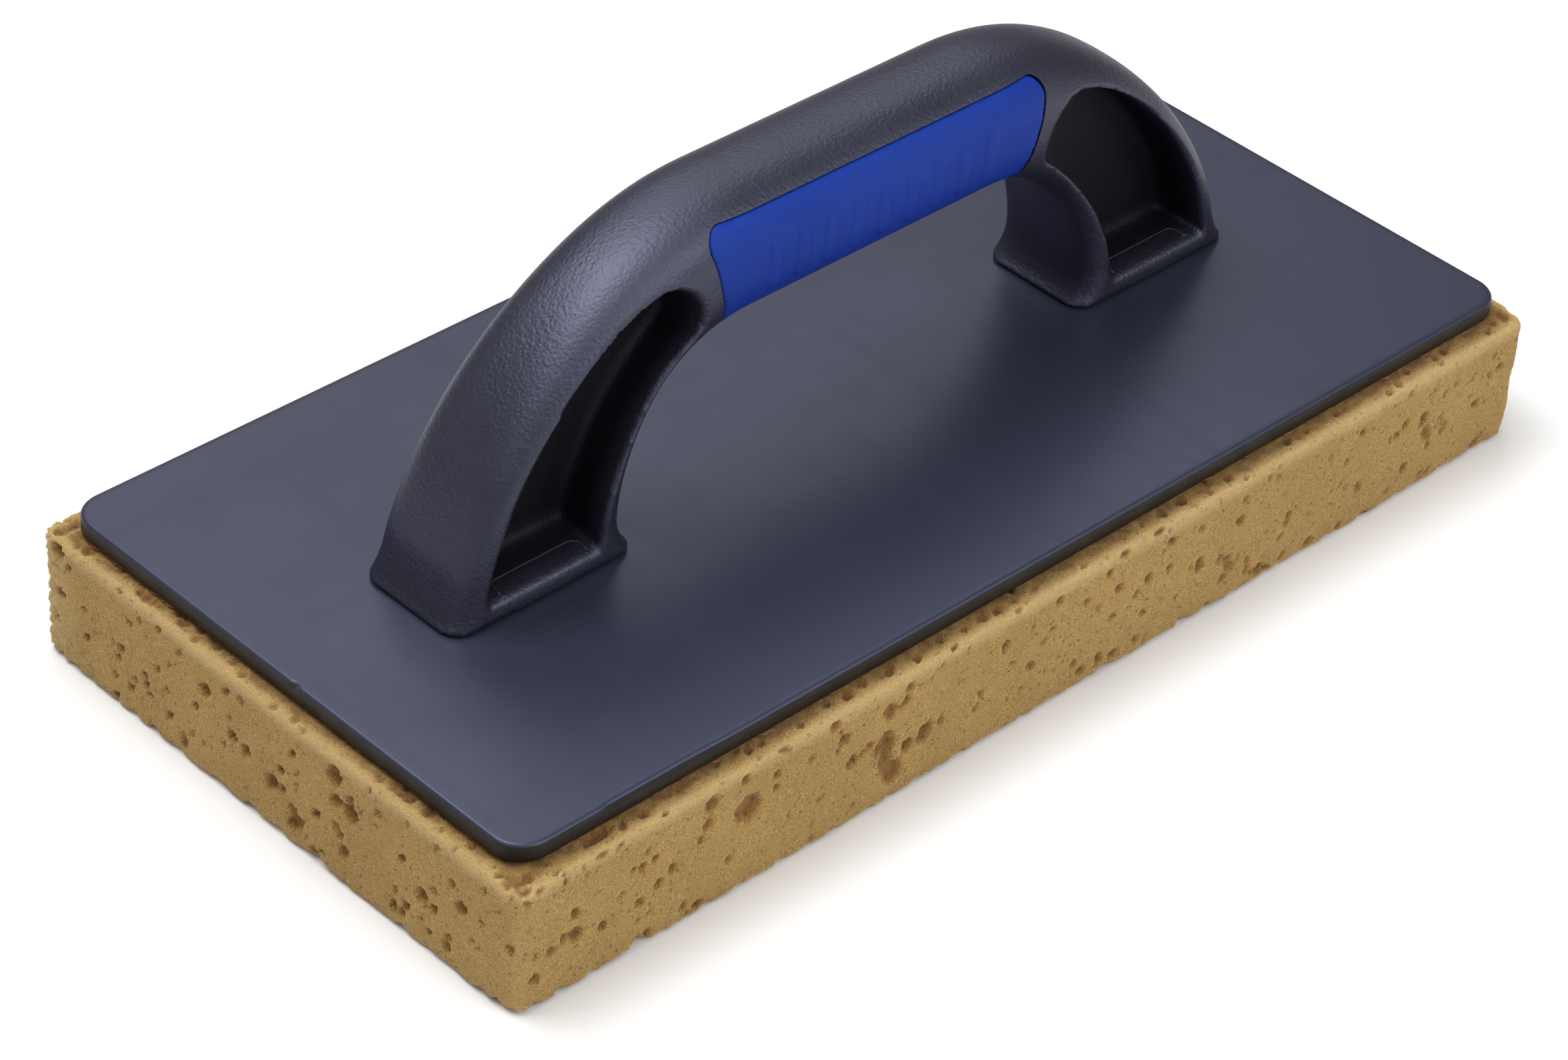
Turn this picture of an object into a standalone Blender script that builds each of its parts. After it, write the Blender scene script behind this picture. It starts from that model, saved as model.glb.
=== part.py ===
"""Sponge float for washing grout off tiles: a thick hydrophilic sponge glued under a stiff plastic plate,
with a moulded bow handle screwed to the plate from below and a soft grip insert around the hand.

X runs along the float, Y across it and Z up. The origin is the centre of the sponge's working face.
"""

import math

import bmesh
import bpy
from mathutils import Vector

MM = 0.001
GAP = 0.3  # clearance between pieces that touch on the real tool, mm

# Sponge pad, mm
SPONGE_LENGTH = 280.0
SPONGE_WIDTH = 140.0
SPONGE_TOP = 29.4
SPONGE_CORNER_RADIUS = 4.0
SPONGE_EDGE_RADIUS = 1.5

# Adhesive film, mm
FILM_MARGIN = 2.0  # the film stops this far inside the plate's edge
FILM_BOTTOM = SPONGE_TOP + GAP
FILM_THICKNESS = 0.4

# Base plate, mm
PLATE_LENGTH = 272.0
PLATE_WIDTH = 130.0
PLATE_CORNER_RADIUS = 7.0
PLATE_EDGE_RADIUS = 0.8
PLATE_BOTTOM = FILM_BOTTOM + FILM_THICKNESS + GAP
PLATE_TOP = PLATE_BOTTOM + 4.0

# Handle, mm. Each profile runs from the grip to the ankle, just above the foot, as one cubic curve in XZ.
HANDLE_HALF_WIDTH = 14.0
HANDLE_BOTTOM = PLATE_TOP + GAP
CUT_REACH = HANDLE_HALF_WIDTH + 1.0  # cutters run this far from the middle, past the handle's sides
GRIP_TOP = 101.4
GRIP_BOTTOM = 73.0
OUTER_CURVE = ((32.0, GRIP_TOP), (71.6, GRIP_TOP), (94.3, 67.8), (102.4, 46.7))
INNER_CURVE = ((32.0, GRIP_BOTTOM), (52.0, GRIP_BOTTOM), (63.4, 56.0), (63.4, 42.0))
FOOT_OUTER_X = 106.9
FOOT_INNER_X = 62.3
GRIP_ROUNDNESS = 2.8  # superellipse exponent of the grip's section: 2 is an ellipse, more is squarer
LEG_ROUNDNESS = 5.8
FOOT_ROUNDNESS = 10.0
ANKLE_SHARES = (0.35, 0.7, 1.0)  # sections between the ankle and the sole
FLARE_POWER = 1.5  # how late the foot spreads on its way down
LOFT_STEPS = 12  # sections along each leg
SECTION_POINTS = 28

# Side pockets that leave each leg an I-section, mm. The outline is in XZ, on the +X leg: the inner, crown and
# outer curves run on from one another, and the flat floor joins their two ends.
WEB_THICKNESS = 3.0
POCKET_FLOOR = 38.8
POCKET_OUTER_CURVE = ((56.5, 89.5), (72.0, 86.5), (94.5, 63.0), (98.3, POCKET_FLOOR))
POCKET_INNER_CURVE = ((70.3, POCKET_FLOOR), (69.3, 52.0), (60.5, 66.5), (47.5, 76.5))
POCKET_CROWN_CURVE = ((47.5, 76.5), (43.8, 80.5), (49.0, 92.0), (56.5, 89.5))
POCKET_STEPS = 8
POCKET_DRAFT = 0.96  # the pocket's inner outline, as a share of the one at its mouth

# Soft grip insert that wraps the underside and both sides of the grip, mm
INSERT_HALF_LENGTH_TOP = 44.4
INSERT_HALF_LENGTH_BOTTOM = 38.0
INSERT_TOP_Z = 97.8
INSERT_DEPTH = 2.4
INSERT_CORNER_RADIUS = 4.0
INSERT_CORNER_STEPS = 4

# Screws through the plate into the handle, mm
SCREW_X = (66.6, 99.4)  # under each leg's inner and outer flange
SCREW_RADIUS = 2.0
SCREW_HEAD_RADIUS = 3.8
SCREW_HEAD_HEIGHT = 2.2
SCREW_LENGTH = 13.0
SCREW_RECESS_RADIUS = 1.1
SCREW_RECESS_DEPTH = 1.2
PILOT_DEPTH_MARGIN = 1.0
ROUND_SIDES = 24

PART_COLLECTION = "sponge_float"
CUTTER_COLLECTION = "cutters"

# Colour, roughness
SPONGE_LOOK = ((0.52, 0.36, 0.14), 0.95)
FILM_LOOK = ((0.30, 0.22, 0.10), 0.50)
PLATE_LOOK = ((0.10, 0.10, 0.14), 0.45)
HANDLE_LOOK = ((0.07, 0.07, 0.10), 0.50)
INSERT_LOOK = ((0.03, 0.07, 0.38), 0.55)
SCREW_LOOK = ((0.60, 0.60, 0.62), 0.30)


def clear_scene():
    for obj in list(bpy.data.objects):
        bpy.data.objects.remove(obj, do_unlink=True)


def new_collection(name):
    collection = bpy.data.collections.new(name)
    bpy.context.scene.collection.children.link(collection)
    return collection


def make_material(name, look, metallic=0.0):
    colour, roughness = look
    material = bpy.data.materials.new(name)
    material.use_nodes = True
    shader = material.node_tree.nodes["Principled BSDF"]
    shader.inputs["Base Color"].default_value = (*colour, 1.0)
    shader.inputs["Roughness"].default_value = roughness
    shader.inputs["Metallic"].default_value = metallic
    material.diffuse_color = (*colour, 1.0)
    return material


def object_from_bmesh(name, mesh_data, collection):
    """An object that holds this mesh, given in millimetres."""
    bmesh.ops.scale(mesh_data, vec=(MM, MM, MM), verts=mesh_data.verts)
    bmesh.ops.recalc_face_normals(mesh_data, faces=mesh_data.faces)
    mesh = bpy.data.meshes.new(name)
    mesh_data.to_mesh(mesh)
    mesh_data.free()
    obj = bpy.data.objects.new(name, mesh)
    collection.objects.link(obj)
    return obj


def add_boolean(obj, cutter, operation="DIFFERENCE"):
    modifier = obj.modifiers.new(f"{operation.lower()}_{cutter.name}", "BOOLEAN")
    modifier.operation = operation
    modifier.solver = "EXACT"
    modifier.object = cutter


def as_cutter(obj):
    obj.hide_render = True
    obj.display_type = "WIRE"
    return obj


def slab_bmesh(length, width, bottom, top, corner_radius, corner_steps):
    """A flat box with rounded upright corners."""
    slab = bmesh.new()
    bmesh.ops.create_cube(slab, size=1.0)
    bmesh.ops.scale(slab, vec=(length, width, top - bottom), verts=slab.verts)
    bmesh.ops.translate(slab, vec=(0, 0, (top + bottom) / 2), verts=slab.verts)
    upright = [e for e in slab.edges if abs(e.verts[0].co.z - e.verts[1].co.z) > (top - bottom) / 2]
    bmesh.ops.bevel(
        slab, geom=upright, offset=corner_radius, segments=corner_steps, profile=0.5, affect="EDGES"
    )
    return slab


def round_rim(slab, level, radius, steps):
    """Rounds the rim of a slab's face at this height."""
    rim = [e for e in slab.edges if all(abs(v.co.z - level) < GAP / 10 for v in e.verts)]
    bmesh.ops.bevel(slab, geom=rim, offset=radius, segments=steps, profile=0.5, affect="EDGES")


def make_sponge(collection):
    slab = slab_bmesh(SPONGE_LENGTH, SPONGE_WIDTH, 0.0, SPONGE_TOP, SPONGE_CORNER_RADIUS, 4)
    round_rim(slab, SPONGE_TOP, SPONGE_EDGE_RADIUS, 2)
    round_rim(slab, 0.0, SPONGE_EDGE_RADIUS, 2)
    return object_from_bmesh("sponge_pad", slab, collection)


def make_film(collection):
    length = PLATE_LENGTH - 2 * FILM_MARGIN
    width = PLATE_WIDTH - 2 * FILM_MARGIN
    radius = PLATE_CORNER_RADIUS - FILM_MARGIN
    slab = slab_bmesh(length, width, FILM_BOTTOM, FILM_BOTTOM + FILM_THICKNESS, radius, 4)
    return object_from_bmesh("adhesive_film", slab, collection)


def make_plate(collection):
    slab = slab_bmesh(PLATE_LENGTH, PLATE_WIDTH, PLATE_BOTTOM, PLATE_TOP, PLATE_CORNER_RADIUS, 6)
    round_rim(slab, PLATE_TOP, PLATE_EDGE_RADIUS, 3)
    return object_from_bmesh("base_plate", slab, collection)


def cubic(points, t):
    """The point at t on a cubic Bezier curve in XZ."""
    a, b, c, d = (Vector(point) for point in points)
    u = 1.0 - t
    return a * u**3 + b * (3 * u * u * t) + c * (3 * u * t * t) + d * t**3


def power(value, exponent):
    return math.copysign(abs(value) ** exponent, value)


def section_ring(outer, inner, half_width, roundness):
    """A superellipse around the line from inner to outer in XZ, this wide to each side in Y."""
    centre = (outer + inner) / 2
    half = (outer - inner) / 2
    ring = []
    for i in range(SECTION_POINTS):
        angle = 2 * math.pi * i / SECTION_POINTS
        across = power(math.sin(angle), 2 / roundness) * half_width
        along = centre + half * power(math.cos(angle), 2 / roundness)
        ring.append((along.x, across, along.y))
    return ring


def loft(name, rings, collection):
    """A closed solid through rings that have the same number of points."""
    shape = bmesh.new()
    placed = [[shape.verts.new(point) for point in ring] for ring in rings]
    for first, second in zip(placed, placed[1:]):
        for i in range(len(first)):
            j = (i + 1) % len(first)
            shape.faces.new((first[i], first[j], second[j], second[i]))
    shape.faces.new(placed[0])
    shape.faces.new(placed[-1])
    return object_from_bmesh(name, shape, collection)


def leg_stations():
    """(outer point, inner point, roundness) of the handle's sections from the grip down to the foot."""
    stations = []
    for i in range(LOFT_STEPS + 1):
        t = i / LOFT_STEPS
        roundness = GRIP_ROUNDNESS + (LEG_ROUNDNESS - GRIP_ROUNDNESS) * math.sin(t * math.pi / 2) ** 2
        stations.append((cubic(OUTER_CURVE, t), cubic(INNER_CURVE, t), roundness))
    ankle_outer, ankle_inner, _ = stations[-1]
    foot_outer = Vector((FOOT_OUTER_X, HANDLE_BOTTOM))
    foot_inner = Vector((FOOT_INNER_X, HANDLE_BOTTOM))
    for share in ANKLE_SHARES:
        outer = ankle_outer.lerp(foot_outer, share)
        inner = ankle_inner.lerp(foot_inner, share)
        outer.x = ankle_outer.x + (foot_outer.x - ankle_outer.x) * share**FLARE_POWER
        inner.x = ankle_inner.x + (foot_inner.x - ankle_inner.x) * share**FLARE_POWER
        stations.append((outer, inner, LEG_ROUNDNESS + (FOOT_ROUNDNESS - LEG_ROUNDNESS) * share))
    return stations


def make_bow(name, collection):
    """The handle's outer shape, from foot to foot."""
    right = []
    for outer, inner, roundness in reversed(leg_stations()):
        right.append(section_ring(outer, inner, HANDLE_HALF_WIDTH, roundness))
    left = [[(-x, y, z) for x, y, z in ring] for ring in reversed(right)]
    return loft(name, right + left, collection)


def prism(name, outline, near, far, far_scale, collection):
    """A cutter along Y over an XZ outline, which shrinks towards its centre at the far end."""
    outline = [Vector(point) for point in outline]
    centre = sum(outline, Vector((0, 0))) / len(outline)
    rings = []
    for y, scale in ((near, 1.0), (far, far_scale)):
        points = [centre + (point - centre) * scale for point in outline]
        rings.append([(point.x, y, point.y) for point in points])
    return as_cutter(loft(name, rings, collection))


def pocket_outline():
    outline = [Vector(POCKET_OUTER_CURVE[-1])]
    for curve in (POCKET_INNER_CURVE, POCKET_CROWN_CURVE, POCKET_OUTER_CURVE):
        outline += [cubic(curve, i / POCKET_STEPS) for i in range(POCKET_STEPS)]
    return outline


def make_pocket_cutters(collection):
    """Four pockets, one on each side of each leg."""
    outline = pocket_outline()
    cutters = []
    for end in (1, -1):
        for side in (1, -1):
            points = [(end * x, z) for x, z in outline]
            name = f"pocket_{'right' if end > 0 else 'left'}_{'back' if side > 0 else 'front'}"
            web = WEB_THICKNESS / 2
            cutters.append(prism(name, points, side * CUT_REACH, side * web, POCKET_DRAFT, collection))
    return cutters


def insert_outline(grow):
    """The insert's side view in XZ: wide above, narrower below, with round upper corners."""
    top_x = INSERT_HALF_LENGTH_TOP + grow
    bottom_x = INSERT_HALF_LENGTH_BOTTOM + grow
    top = INSERT_TOP_Z + grow
    corner = INSERT_CORNER_RADIUS
    right = [(bottom_x, GRIP_BOTTOM - corner)]
    for i in range(INSERT_CORNER_STEPS + 1):
        angle = i / INSERT_CORNER_STEPS * math.pi / 2
        right.append((top_x - corner + corner * math.cos(angle), top - corner + corner * math.sin(angle)))
    return right + [(-x, z) for x, z in reversed(right)]


def make_grip_core(name, inset, collection):
    """A cutter with the grip's section, smaller all round by the inset and longer than the insert."""
    reach = OUTER_CURVE[1][0]
    rings = []
    for x in (-reach, reach):
        outer = Vector((x, GRIP_TOP - inset))
        inner = Vector((x, GRIP_BOTTOM + inset))
        rings.append(section_ring(outer, inner, HANDLE_HALF_WIDTH - inset, GRIP_ROUNDNESS))
    return as_cutter(loft(name, rings, collection))


def turned(name, profile, collection):
    """A solid turned about Z from a profile of (radius, z) that starts and ends on the axis."""
    shape = bmesh.new()
    verts = [shape.verts.new((radius, 0.0, z)) for radius, z in profile]
    for first, second in zip(verts, verts[1:]):
        shape.edges.new((first, second))
    bmesh.ops.spin(
        shape,
        geom=list(shape.verts) + list(shape.edges),
        cent=(0, 0, 0),
        axis=(0, 0, 1),
        angle=2 * math.pi,
        steps=ROUND_SIDES,
        use_merge=True,
    )
    bmesh.ops.remove_doubles(shape, verts=shape.verts, dist=GAP / 100)
    return object_from_bmesh(name, shape, collection)


def screw_profile(clearance):
    """Countersunk screw, head down, grown by the clearance."""
    head = PLATE_BOTTOM - clearance
    radius = SCREW_RADIUS + clearance
    head_radius = SCREW_HEAD_RADIUS + clearance
    tip = PLATE_BOTTOM + SCREW_LENGTH + clearance
    cone_top = PLATE_BOTTOM + SCREW_HEAD_HEIGHT + clearance
    return head, radius, head_radius, cone_top, tip


def make_screw(name, x, collection):
    head, radius, head_radius, cone_top, tip = screw_profile(0.0)
    profile = [
        (0.0, head + SCREW_RECESS_DEPTH),
        (SCREW_RECESS_RADIUS, head + SCREW_RECESS_DEPTH),
        (SCREW_RECESS_RADIUS, head),
        (head_radius, head),
        (head_radius, head + GAP),
        (radius, cone_top),
        (radius, tip - 2 * radius),
        (0.0, tip),
    ]
    screw = turned(name, profile, collection)
    screw.location.x = x * MM
    return screw


def make_screw_cutter(name, x, collection):
    head, radius, head_radius, cone_top, tip = screw_profile(GAP)
    profile = [
        (0.0, head - GAP),
        (head_radius, head - GAP),
        (head_radius, head + 2 * GAP),
        (radius, cone_top),
        (radius, tip + PILOT_DEPTH_MARGIN),
        (0.0, tip + PILOT_DEPTH_MARGIN),
    ]
    cutter = as_cutter(turned(name, profile, collection))
    cutter.location.x = x * MM
    return cutter


def main():
    clear_scene()
    parts = new_collection(PART_COLLECTION)
    cutters = new_collection(CUTTER_COLLECTION)

    sponge = make_sponge(parts)
    sponge.data.materials.append(make_material("sponge", SPONGE_LOOK))
    film = make_film(parts)
    film.data.materials.append(make_material("adhesive", FILM_LOOK))
    plate = make_plate(parts)
    plate.data.materials.append(make_material("plate_plastic", PLATE_LOOK))

    handle = make_bow("handle_body", parts)
    handle.data.materials.append(make_material("handle_plastic", HANDLE_LOOK))
    for pocket in make_pocket_cutters(cutters):
        add_boolean(handle, pocket)
    recess = prism("insert_recess", insert_outline(GAP), -CUT_REACH, CUT_REACH, 1.0, cutters)
    recess_core = make_grip_core("recess_core", INSERT_DEPTH + GAP, cutters)
    add_boolean(recess, recess_core)
    add_boolean(handle, recess)

    insert = make_bow("grip_insert", parts)
    insert.data.materials.append(make_material("soft_grip", INSERT_LOOK))
    window = prism("insert_window", insert_outline(0.0), -CUT_REACH, CUT_REACH, 1.0, cutters)
    add_boolean(insert, window, "INTERSECT")
    add_boolean(insert, make_grip_core("insert_core", INSERT_DEPTH, cutters))

    steel = make_material("screw_steel", SCREW_LOOK, metallic=1.0)
    for end, side in ((-1, "left"), (1, "right")):
        for x, place in zip(SCREW_X, ("inner", "outer")):
            screw = make_screw(f"screw_{side}_{place}", end * x, parts)
            screw.data.materials.append(steel)
            hole = make_screw_cutter(f"hole_{side}_{place}", end * x, cutters)
            add_boolean(plate, hole)
            add_boolean(handle, hole)


main()
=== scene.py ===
"""The look of the sponge float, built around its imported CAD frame.

The shapes are worked out in millimetres, in the CAD's own frame: X along the float, Y across it, Z up, the
origin at the centre of the sponge's working face. A mesh is scaled to metres when it becomes an object.
"""

import math
import random

import bpy
import numpy as np
from mathutils import Matrix, Vector, geometry, noise
from mathutils.bvhtree import BVHTree


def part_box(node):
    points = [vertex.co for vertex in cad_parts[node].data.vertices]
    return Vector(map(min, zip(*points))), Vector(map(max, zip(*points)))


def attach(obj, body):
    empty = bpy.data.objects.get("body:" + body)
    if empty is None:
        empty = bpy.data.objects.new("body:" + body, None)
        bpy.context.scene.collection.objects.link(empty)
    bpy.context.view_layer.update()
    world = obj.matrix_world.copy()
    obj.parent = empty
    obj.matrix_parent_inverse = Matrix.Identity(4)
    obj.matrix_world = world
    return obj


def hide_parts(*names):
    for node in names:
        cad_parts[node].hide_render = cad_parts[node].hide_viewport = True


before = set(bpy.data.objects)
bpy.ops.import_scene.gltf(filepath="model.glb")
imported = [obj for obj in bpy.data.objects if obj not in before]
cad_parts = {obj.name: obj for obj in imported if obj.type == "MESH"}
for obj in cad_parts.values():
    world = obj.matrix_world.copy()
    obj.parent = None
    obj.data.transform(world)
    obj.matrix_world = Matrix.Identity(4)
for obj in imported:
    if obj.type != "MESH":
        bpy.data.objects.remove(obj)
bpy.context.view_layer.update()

MM = 0.001
SEED = 7


def box_mm(node):
    low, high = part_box(node)
    return low / MM, high / MM


_, SPONGE_HIGH = box_mm("sponge_pad")
FILM_LOW, FILM_HIGH = box_mm("adhesive_film")
PLATE_LOW, PLATE_HIGH = box_mm("base_plate")
HANDLE_LOW, HANDLE_HIGH = box_mm("handle_body")

# Sponge
SPONGE_CORNER_RADIUS = 4.5
SPONGE_TOP_RADIUS = 2.2
SPONGE_BOTTOM_RADIUS = 1.6
SPONGE_PITCH = 0.62
SPONGE_BOTTOM_PITCH = 1.8
SPONGE_TOP_REACH = 6.6  # how far in from the sides the fine top surface goes, under the plate
SPONGE_BOTTOM_REACH = 2.4
LARGE_HOLES = (  # the largest holes in the two sides in front, as (place, radius, depth)
    ((-83.5, -70.0, 19.0), 3.6, 1.7),
    ((-92.5, -70.0, 25.0), 1.9, 1.3),
    ((-93.5, -70.0, 20.5), 1.5, 1.0),
    ((-48.0, -70.0, 15.0), 3.1, 1.9),
    ((-45.5, -70.0, 7.0), 2.8, 1.6),
    ((-42.0, -70.0, 11.5), 1.8, 1.6),
    ((-62.0, -70.0, 27.0), 1.5, 1.2),
    ((-59.5, -70.0, 22.5), 1.7, 1.3),
    ((-57.0, -70.0, 16.0), 1.7, 1.3),
    ((-109.5, -70.0, 0.8), 2.6, 1.6),
    ((-109.5, -70.0, 19.5), 1.3, 1.1),
    ((-102.0, -70.0, 15.0), 1.4, 1.1),
    ((-105.5, -70.0, 13.5), 1.2, 1.2),
    ((-110.0, -70.0, 11.5), 1.4, 1.2),
    ((-125.5, -70.0, 13.0), 1.8, 1.4),
    ((-119.0, -70.0, 11.0), 1.2, 1.2),
    ((-131.5, -70.0, 12.5), 1.3, 1.0),
    ((-140.0, 18.5, 21.0), 1.8, 1.5),
    ((-140.0, 6.5, 14.0), 1.5, 1.3),
    ((-140.0, -1.0, 11.5), 2.0, 1.6),
    ((-140.0, -3.5, 16.0), 1.3, 1.2),
    ((-140.0, -19.0, 24.5), 2.3, 1.6),
    ((-140.0, -19.5, 19.0), 1.6, 1.3),
    ((-140.0, -23.5, 18.5), 2.2, 1.7),
    ((-140.0, -43.5, 12.5), 1.8, 1.5),
    ((-140.0, -54.5, 17.0), 1.6, 1.4),
)
SIDE_HOLES = ((450, 0.6, 0.95), (270, 0.9, 1.4), (24, 1.4, 2.2))  # (how many, least and most radius)
BOTTOM_HOLES = ((190, 1.1, 1.9), (60, 1.9, 3.4))
TOP_HOLE_RADIUS = 1.1
DEEPEST_HOLE = 2.0
JOINT_HOLES = 90  # in the margin, close to the plate
SPONGE_SLACK = 0.55  # how far inside the CAD box the surface lies, before its swellings and holes

# Plate
PLATE_CORNER_RADIUS = 7.0
PLATE_TOP_RADIUS = 0.9
PLATE_BOTTOM_RADIUS = 0.3
PLATE_SIDE_LIMIT = 20.0  # a face tilted up by less than this, in degrees, belongs to the side, which is given a darker material as painted shade
PLATE_BOTTOM_REACH = 2.0
PLATE_TOP_REACH = 4.0
PLATE_PITCH = 0.75
PLATE_PROFILE_PITCH = 1.0

# Glue
GLUE_PITCH = 0.9
GLUE_PROFILE = ((3.0, 0.0), (0.3, 0.0), (0.0, 0.5), (0.3, 1.0), (3.0, 1.0))  # (inset, share of the height)

CUTTER_OVERRUN = 1.0  # how far a cutter stands out of what it cuts

# Handle: each profile runs from the grip to the ankle, just above the foot, as one cubic curve in XZ
HANDLE_HALF_WIDTH = HANDLE_HIGH.y
HANDLE_BOTTOM = HANDLE_LOW.z
GRIP_TOP = HANDLE_HIGH.z
GRIP_BOTTOM = 73.0
OUTER_CURVE = ((32.0, GRIP_TOP), (71.6, GRIP_TOP), (94.3, 67.8), (102.4, 46.7))
INNER_CURVE = ((32.0, GRIP_BOTTOM), (52.0, GRIP_BOTTOM), (63.4, 56.0), (63.4, 42.0))
FOOT_OUTER_CURVE = (OUTER_CURVE[-1], (103.4, 43.8), (103.3, 38.4), (HANDLE_HIGH.x, HANDLE_BOTTOM))
FOOT_INNER_CURVE = (INNER_CURVE[-1], (63.4, 39.2), (62.8, 36.8), (60.4, HANDLE_BOTTOM))
GRIP_ROUNDNESS = 2.6
LEG_ROUNDNESS = 5.8
FOOT_CORNER_RADIUS = 4.6
ANKLE_STEPS = 8
LEG_STEPS = 56
SECTION_POINTS = 120

# Pockets in the sides of the legs
WEB_THICKNESS = 3.0
POCKET_FLOOR = 38.8
POCKET_OUTER_CURVE = ((56.5, 89.5), (72.0, 86.5), (94.5, 63.0), (98.3, POCKET_FLOOR))
POCKET_INNER_CURVE = ((70.3, POCKET_FLOOR), (69.3, 52.0), (60.5, 66.5), (47.5, 76.5))
POCKET_CROWN_CURVE = ((47.5, 76.5), (43.8, 80.5), (49.0, 92.0), (56.5, 89.5))
POCKET_STEPS = 32
POCKET_DRAFT = 0.96
LIP_RADIUS = 1.5  # the foot's edge under each pocket rounds down to the plate
LIP_STEPS = 5
FILLET_FADE = (6.0, 9.5)  # the inner edges are rounded less and less between these places in Y
FILLET_ROUNDS = 75
RIM_FADE = (0.6, 1.5)  # and the rims between these distances from them
RIM_ROUNDS = 22
POCKET_SHADE_IN = (1.0, 7.0)  # painted shade darkens a pocket between these distances in from its mouth
POCKET_SHADE_UNDER = (0.7, 1.7)  # and these depths under the handle's outer shape
SHARP_ANGLE = 45.0

# Raised line on each pocket's floor
LINE_X = (72.5, 94.0)
LINE_Y = 8.3
LINE_INSET = 0.9
LINE_RADIUS = 2.0
LINE_PITCH = 0.5
LINE_SIDES = 8
LINE_HALF_WIDTH = 0.17
LINE_HEIGHT = 0.22
LINE_DIP = 1.3
LINE_LEVELS = (POCKET_FLOOR - 0.3, POCKET_FLOOR + 2.5)  # its top lies between these

# The handle's mesh
HANDLE_VOXEL = 0.5
HANDLE_ROUNDS = 16
HANDLE_TRIANGLES = 240000

# Soft grip insert
GAP = 0.3
INSERT_HALF_LENGTH_TOP = 44.4
INSERT_HALF_LENGTH_BOTTOM = 38.0
INSERT_TOP_Z = 97.8
INSERT_DEPTH = 2.4
INSERT_CORNER_RADIUS = 4.0
INSERT_CORNER_STEPS = 8
INSERT_VOXEL = 0.42
INSERT_ROUNDS = 5
BAR_COUNT = 9
BAR_SPACING = 7.2
BAR_HALF_WIDTH = 1.7
BAR_HALF_HEIGHT = 5.6
BAR_CENTRE_Z = 86.0
BAR_HEIGHT = 0.4

FLOOR_HALF_SIZE = 3000.0

# Camera, metres
CAMERA_LENS = 107.23
CAMERA_SENSOR = 36.0
CAMERA_PLACE = (-0.54587, -0.51781, 0.57622)
CAMERA_RIGHT = (0.72167, -0.69005, 0.05500)
CAMERA_UP = (0.38911, 0.47008, 0.79222)
CAMERA_BACK = (-0.57253, -0.55032, 0.60775)


# ---------------------------------------------------------------- meshes
def object_from(name, points, faces):
    """An object that holds these points, given in millimetres, and faces."""
    mesh = bpy.data.meshes.new(name)
    mesh.from_pydata((np.asarray(points, float) * MM).tolist(), [], faces)
    mesh.update()
    obj = bpy.data.objects.new(name, mesh)
    bpy.context.scene.collection.objects.link(obj)
    return obj


def settle(obj, cutters=()):
    """Gives an object the mesh that its modifiers make, and removes them and the cutters they used."""
    graph = bpy.context.evaluated_depsgraph_get()
    mesh = bpy.data.meshes.new_from_object(obj.evaluated_get(graph))
    obj.modifiers.clear()
    obj.data = mesh
    for cutter in cutters:
        bpy.data.objects.remove(cutter)


def shade_smooth(obj):
    obj.data.polygons.foreach_set("use_smooth", [True] * len(obj.data.polygons))


def ring_faces(rows, columns):
    """The quads between closed rings of points that follow one another."""
    row, column = np.meshgrid(np.arange(rows - 1), np.arange(columns), indexing="ij")
    after = (column + 1) % columns
    quads = np.stack(
        [
            row * columns + column,
            row * columns + after,
            (row + 1) * columns + after,
            (row + 1) * columns + column,
        ],
        axis=-1,
    )
    return quads.reshape(-1, 4).tolist()


def loft(name, rings):
    """A closed solid through rings that have the same number of points."""
    count = len(rings[0])
    faces = ring_faces(len(rings), count)
    faces.append(list(range(count))[::-1])
    faces.append(list(range((len(rings) - 1) * count, len(rings) * count)))
    obj = object_from(name, np.concatenate(rings), faces)
    face_outwards(obj)
    return obj


def face_outwards(obj):
    """Turns every face of a closed mesh round if the mesh is inside out."""
    mesh = obj.data
    mesh.calc_loop_triangles()
    points = np.array([v.co for v in mesh.vertices])
    corners = points[np.array([t.vertices for t in mesh.loop_triangles])]
    if np.linalg.det(corners).sum() < 0:
        mesh.flip_normals()


def boolean(obj, cutter, operation="DIFFERENCE"):
    modifier = obj.modifiers.new(cutter.name, "BOOLEAN")
    modifier.operation = operation
    modifier.solver = "EXACT"
    modifier.object = cutter


def remesh_and_smooth(obj, voxel, rounds):
    """Even small faces, with every edge rounded as in a moulding."""
    remesh = obj.modifiers.new("remesh", "REMESH")
    remesh.mode = "VOXEL"
    remesh.voxel_size = voxel * MM
    smooth = obj.modifiers.new("smooth", "SMOOTH")
    smooth.factor = 0.5
    smooth.iterations = rounds


def decimate_to(obj, triangles):
    have = sum(len(p.vertices) - 2 for p in obj.data.polygons)
    if have > triangles:
        modifier = obj.modifiers.new("decimate", "DECIMATE")
        modifier.ratio = triangles / have
        settle(obj)


# ---------------------------------------------------------------- rounded rectangles
def outline_places(half_x, half_y, radius, pitch):
    """Places along a rounded rectangle, each (corner, share of its arc, share of the side after it)."""
    places = []
    for corner in range(4):
        arc_steps = max(2, round(radius * math.pi / 2 / pitch))
        side_steps = round(2 * ((half_y if corner % 2 else half_x) - radius) / pitch)
        places += [(corner, step / arc_steps, 0.0) for step in range(arc_steps)]
        places += [(corner, 1.0, step / side_steps) for step in range(side_steps)]
    return np.array(places)


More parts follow.
